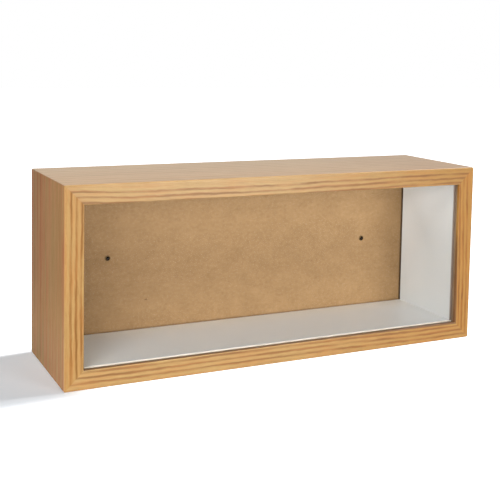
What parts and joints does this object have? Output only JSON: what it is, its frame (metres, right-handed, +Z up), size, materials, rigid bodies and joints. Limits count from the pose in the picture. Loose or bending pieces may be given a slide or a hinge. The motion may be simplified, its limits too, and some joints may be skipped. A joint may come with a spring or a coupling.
{
  "type": "wall display case",
  "caption": "Wide, shallow wall display case: mitred oak box with a white lining, a plain board back and a glazed oak front frame that pulls off.",
  "frame": {"origin": "middle of the underside, on the surface that the case stands on", "axes": "+X towards the case's right as seen from the front, +Y back towards the wall, +Z up"},
  "size_m": [0.6, 0.17, 0.25],
  "materials": {
    "oak_board": "clear matt lacquer",
    "oak_frame": "clear matt lacquer",
    "white_board": "satin white facing",
    "brown_fibreboard": "bare",
    "softwood": "planed, bare",
    "beech": "bare",
    "clear_glass": "polished",
    "dark_steel": "burnished",
    "plated_steel": "nickel plated",
    "brass": "turned"
  },
  "bodies": {
    "case": {"top_panel": "oak_board", "bottom_panel": "oak_board", "left_side": "oak_board", "right_side": "oak_board", "lining_floor": "white_board", "lining_ceiling": "white_board", "lining_left": "white_board", "lining_right": "white_board", "back_panel": "brown_fibreboard", "hanging_rail": "softwood", "corner_splines": "beech", "rail_dowels": "beech", "screw_cups": "dark_steel", "keeper_discs": "plated_steel", "locating_pins": "brass"},
    "front": {"front_rail_top": "oak_frame", "front_rail_bottom": "oak_frame", "front_stile_left": "oak_frame", "front_stile_right": "oak_frame", "frame_keys": "beech", "glazing_pane": "clear_glass", "glazing_bead_top": "oak_frame", "glazing_bead_bottom": "oak_frame", "glazing_bead_left": "oak_frame", "glazing_bead_right": "oak_frame", "frame_magnets": "plated_steel"}
  },
  "joints": [
    {"name": "front_pull_off", "type": "slide", "parent": "case", "child": "front", "axis": [0, -1, 0], "range_m": [0, 0.15]}
  ]
}
